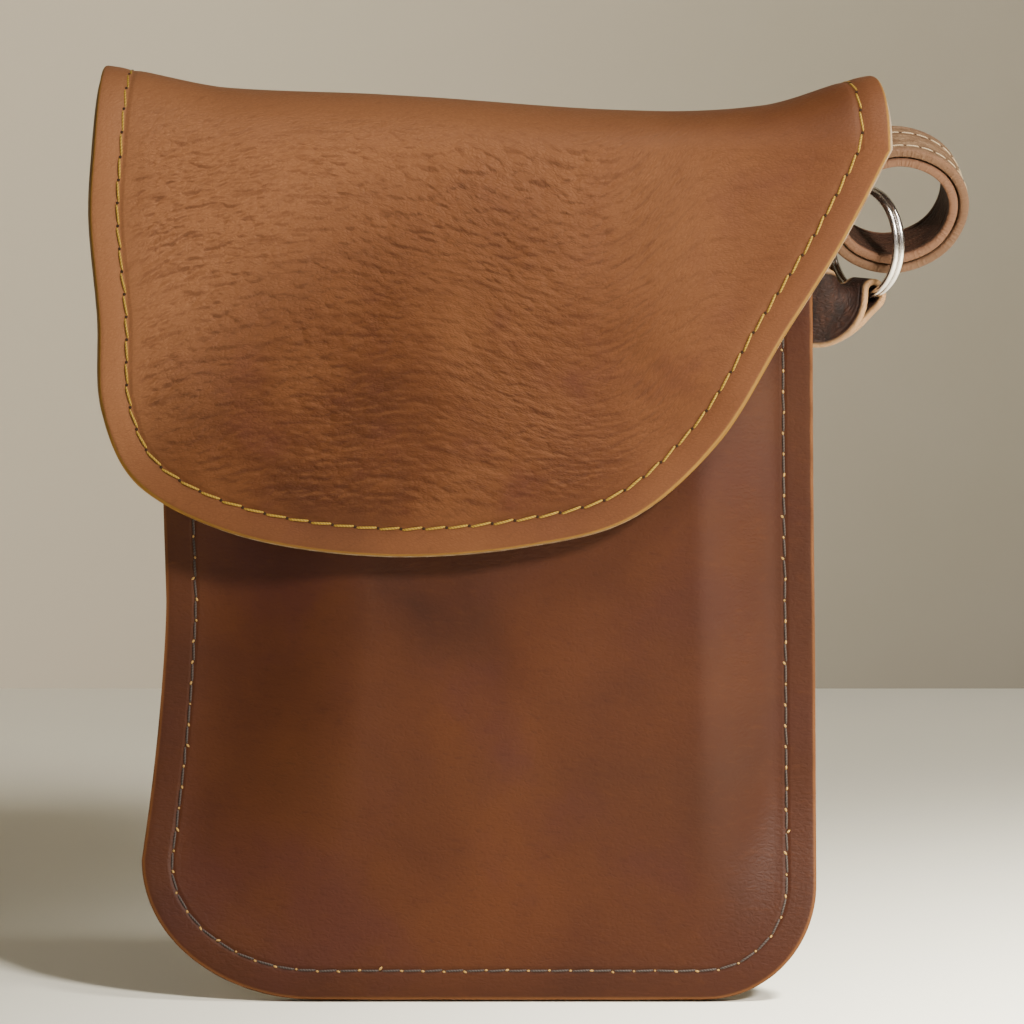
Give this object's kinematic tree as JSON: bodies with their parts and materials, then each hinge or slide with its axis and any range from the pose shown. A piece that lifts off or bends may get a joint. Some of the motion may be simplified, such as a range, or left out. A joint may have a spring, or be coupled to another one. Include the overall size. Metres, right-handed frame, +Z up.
{
  "type": "leather flap pouch",
  "caption": "Small sewn leather pouch with a lined flap that folds over the front, a hidden magnetic catch, and a side tab holding a split ring and a strap loop.",
  "frame": {"origin": "middle of the back panel's bottom edge, on the surface that the pouch stands on", "axes": "+Z up towards the flap's crown, -Y out of the front, +X towards the side with the tab and ring"},
  "size_m": [0.1541, 0.0286, 0.1642],
  "materials": {
    "back_panel": "smooth waxed cowhide, dark brown",
    "front_panel": "smooth waxed cowhide, dark brown",
    "flap_tail": "pebbled waxed cowhide, reddish brown",
    "tail_thread": "waxed yellow thread",
    "seam_needle_thread": "waxed yellow thread",
    "seam_bobbin_thread": "waxed dark brown thread",
    "ring_tab": "dark brown leather strip",
    "closure_keeper": "steel disc",
    "keeper_patch": "ochre suede",
    "keeper_patch_thread": "waxed yellow thread",
    "flap_crown": "pebbled waxed cowhide, reddish brown",
    "crown_lining": "ochre suede",
    "crown_thread_left": "waxed yellow thread",
    "crown_thread_right": "waxed yellow thread",
    "flap_front": "pebbled waxed cowhide, reddish brown",
    "flap_lining": "ochre suede",
    "flap_needle_thread": "waxed yellow thread",
    "flap_bobbin_thread": "waxed dark brown thread",
    "flap_magnet": "plated magnet disc",
    "magnet_patch": "ochre suede",
    "magnet_patch_thread": "waxed yellow thread",
    "split_ring": "polished nickel-plated wire",
    "strap_outer": "dark brown leather with light raw edges",
    "strap_inner": "dark suede side",
    "strap_thread_front": "cream thread",
    "strap_thread_back": "cream thread"
  },
  "bodies": {
    "pouch": {"back_panel": "back_panel", "front_panel": "front_panel", "flap_tail": "flap_tail", "tail_thread": "tail_thread", "seam_needle_thread": "seam_needle_thread", "seam_bobbin_thread": "seam_bobbin_thread", "ring_tab": "ring_tab", "closure_keeper": "closure_keeper", "keeper_patch": "keeper_patch", "keeper_patch_thread": "keeper_patch_thread"},
    "crown": {"flap_crown": "flap_crown", "crown_lining": "crown_lining", "crown_thread_left": "crown_thread_left", "crown_thread_right": "crown_thread_right"},
    "flap": {"flap_front": "flap_front", "flap_lining": "flap_lining", "flap_needle_thread": "flap_needle_thread", "flap_bobbin_thread": "flap_bobbin_thread", "flap_magnet": "flap_magnet", "magnet_patch": "magnet_patch", "magnet_patch_thread": "magnet_patch_thread"},
    "ring": {"split_ring": "split_ring"},
    "loop": {"strap_outer": "strap_outer", "strap_inner": "strap_inner", "strap_thread_front": "strap_thread_front", "strap_thread_back": "strap_thread_back"}
  },
  "joints": [
    {"name": "flap_fold", "type": "hinge", "parent": "pouch", "child": "crown", "pos_m": [0, 0.0136, 0.146], "axis": [-1, 0, 0], "range_deg": [0, 120]},
    {"name": "flap_bend", "type": "hinge", "parent": "crown", "child": "flap", "pos_m": [0, -0.0104, 0.15], "axis": [-1, 0, 0], "range_deg": [0, 90]},
    {"name": "ring_swing", "type": "hinge", "parent": "pouch", "child": "ring", "pos_m": [0.0674, 0.009, 0.12355], "axis": [-0.6157, 0.788, 0], "range_deg": [0, 95]},
    {"name": "loop_slide", "type": "hinge", "parent": "ring", "child": "loop", "pos_m": [0.0674, 0.009, 0.1327], "axis": [0.788, 0.6157, 0], "range_deg": [0, 75]}
  ],
  "couplings": [
    {"joint": "flap_bend", "follows": "flap_fold", "ratio": 0.7}
  ]
}
